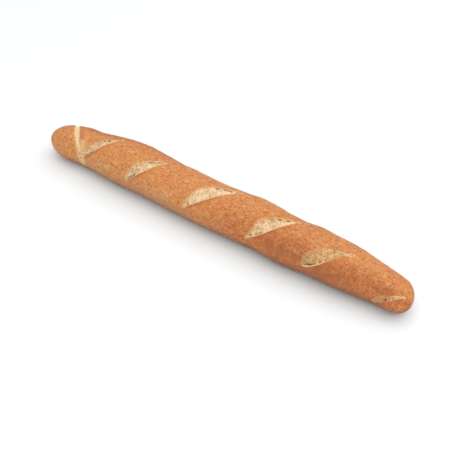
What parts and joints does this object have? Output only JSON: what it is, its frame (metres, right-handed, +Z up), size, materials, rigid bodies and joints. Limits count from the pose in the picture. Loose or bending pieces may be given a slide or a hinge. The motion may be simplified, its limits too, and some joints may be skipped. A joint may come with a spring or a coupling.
{
  "type": "baguette",
  "caption": "Long bran baguette baked as one piece, with a flat base, rounded ends and seven diagonal scores over its crest.",
  "frame": {"origin": "bottom centre of the loaf's bounding box, on the surface that the loaf lies on", "axes": "+X along the loaf towards its narrower, blunter end; +Y across it, away from the flank where the scores begin; +Z up, out of the scored crest"},
  "size_m": [0.56, 0.0722, 0.0563],
  "materials": {
    "crust": "matte"
  },
  "bodies": {
    "root": {"loaf": "crust"}
  },
  "joints": []
}
